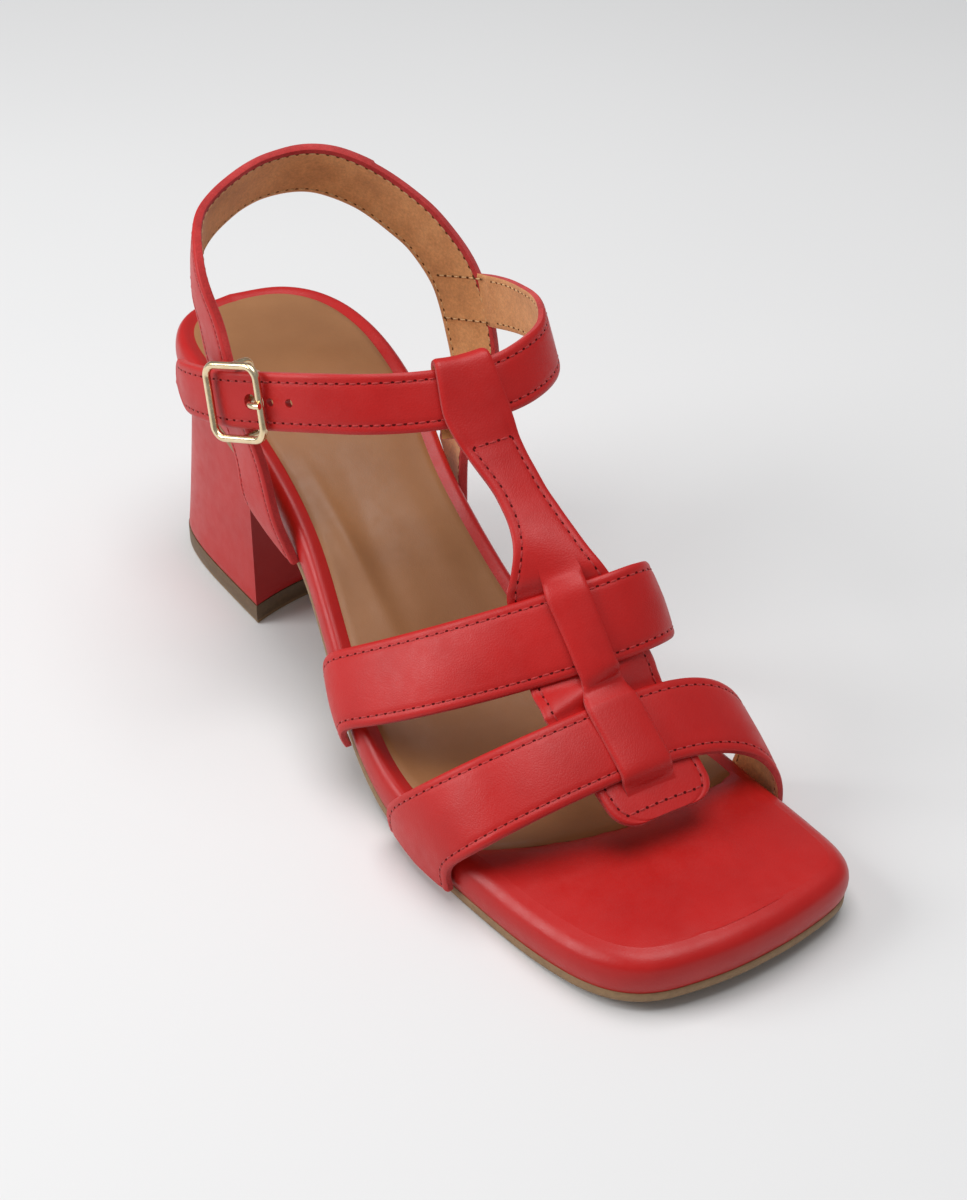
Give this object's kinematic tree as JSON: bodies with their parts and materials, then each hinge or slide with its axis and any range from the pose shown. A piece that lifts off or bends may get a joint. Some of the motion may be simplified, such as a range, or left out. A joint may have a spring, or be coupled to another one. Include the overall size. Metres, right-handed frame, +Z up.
{
  "type": "heeled sandal",
  "caption": "Right women's T-bar sandal in red leather: straps over a padded footbed, a sling, a buckled ankle strap and a flared block heel.",
  "frame": {"origin": "on the floor, under the middle of the shoe's bounding box", "axes": "+X from the heel to the toe, +Y to the medial (inner) side of the right foot, +Z up from the floor"},
  "size_m": [0.2428, 0.0904, 0.1262],
  "materials": {
    "outsole": "matt tan-brown sheet",
    "red_leather": "satin red, wrapped round the footbed",
    "sock_leather": "smooth tan lining leather",
    "heel_cover": "satin red, stretched over the heel block",
    "top_lift": "matt brown",
    "strap_leather": "satin red with stitched edges and a tan lining",
    "buckle_metal": "polished pale gold plate",
    "elastic": "ribbed woven elastic"
  },
  "bodies": {
    "root": {"outsole": "outsole", "footbed": "red_leather", "insole_sock": "sock_leather", "heel_block": "heel_cover", "top_lift": "top_lift", "upper": "strap_leather", "buckle_frame": "buckle_metal", "buckle_prong": "buckle_metal", "elastic_tab": "elastic"}
  },
  "joints": []
}
